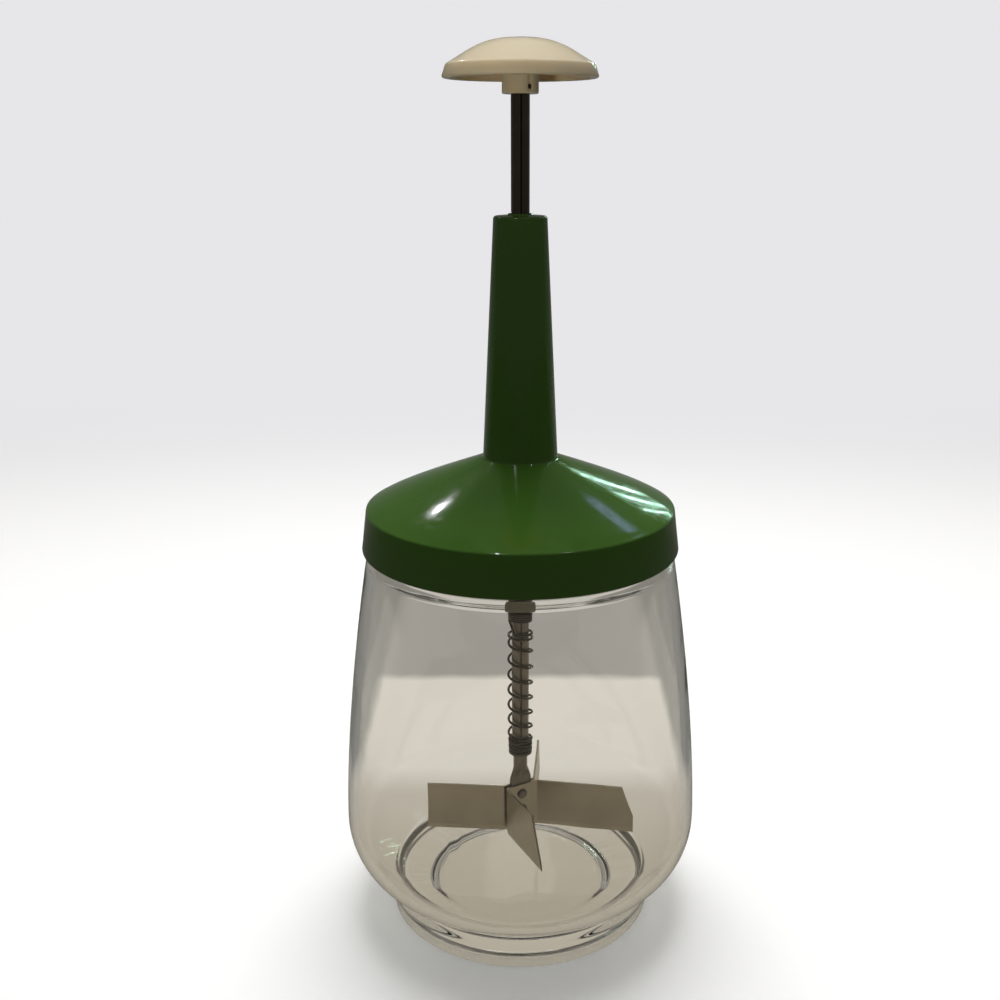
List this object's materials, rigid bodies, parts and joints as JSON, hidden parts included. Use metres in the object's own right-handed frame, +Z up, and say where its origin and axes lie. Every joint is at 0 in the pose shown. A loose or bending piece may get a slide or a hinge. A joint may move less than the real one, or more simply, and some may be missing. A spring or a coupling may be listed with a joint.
{
  "type": "plunger food chopper",
  "caption": "Glass jar with a screw-on domed lid whose tall tower guides a sprung plunger, with a mushroom knob above and riveted chopping blades below.",
  "frame": {"origin": "centre of the jar's foot, on the table", "axes": "+Z up along the plunger's axis, -Y the front, +X to the right"},
  "size_m": [0.1092, 0.1092, 0.2612],
  "materials": {
    "clear_glass": "clear pressed glass",
    "green_plastic": "glossy moulded",
    "white_seal": "soft matt",
    "grey_plastic": "plain moulded",
    "rolled_steel": "rolled, dull",
    "spring_wire": "drawn, dark",
    "ivory_plastic": "glossy moulded, aged",
    "blade_steel": "rolled, worn"
  },
  "bodies": {
    "jar": {"jar": "clear_glass"},
    "liner": {"lid_liner": "white_seal"},
    "lid": {"lid": "green_plastic", "guide_plug": "grey_plastic", "guide_ferrule": "rolled_steel", "spring": "spring_wire"},
    "collar": {"spring_collar": "spring_wire"},
    "plunger": {"shaft": "rolled_steel", "knob": "ivory_plastic", "knob_pin": "spring_wire", "blade_left_rear": "blade_steel", "blade_front_right": "blade_steel", "blade_rivets": "blade_steel"}
  },
  "joints": [
    {"name": "lid_lift", "type": "slide", "parent": "jar", "child": "liner", "axis": [0, 0, 1], "range_m": [0, 0.12]},
    {"name": "lid_turn", "type": "hinge", "parent": "liner", "child": "lid", "pos_m": [0, 0, 0.13], "axis": [0, 0, 1], "range_deg": [0, 360]},
    {"name": "plunger_press", "type": "slide", "parent": "lid", "child": "collar", "axis": [0, 0, -1], "range_m": [0, 0.0128], "stiffness_N_per_m": 150, "springref_m": -0.0085, "deforming": ["spring"]},
    {"name": "plunger_turn", "type": "hinge", "parent": "collar", "child": "plunger", "pos_m": [0, 0, 0.13], "axis": [0, 0, 1], "continuous": true}
  ]
}
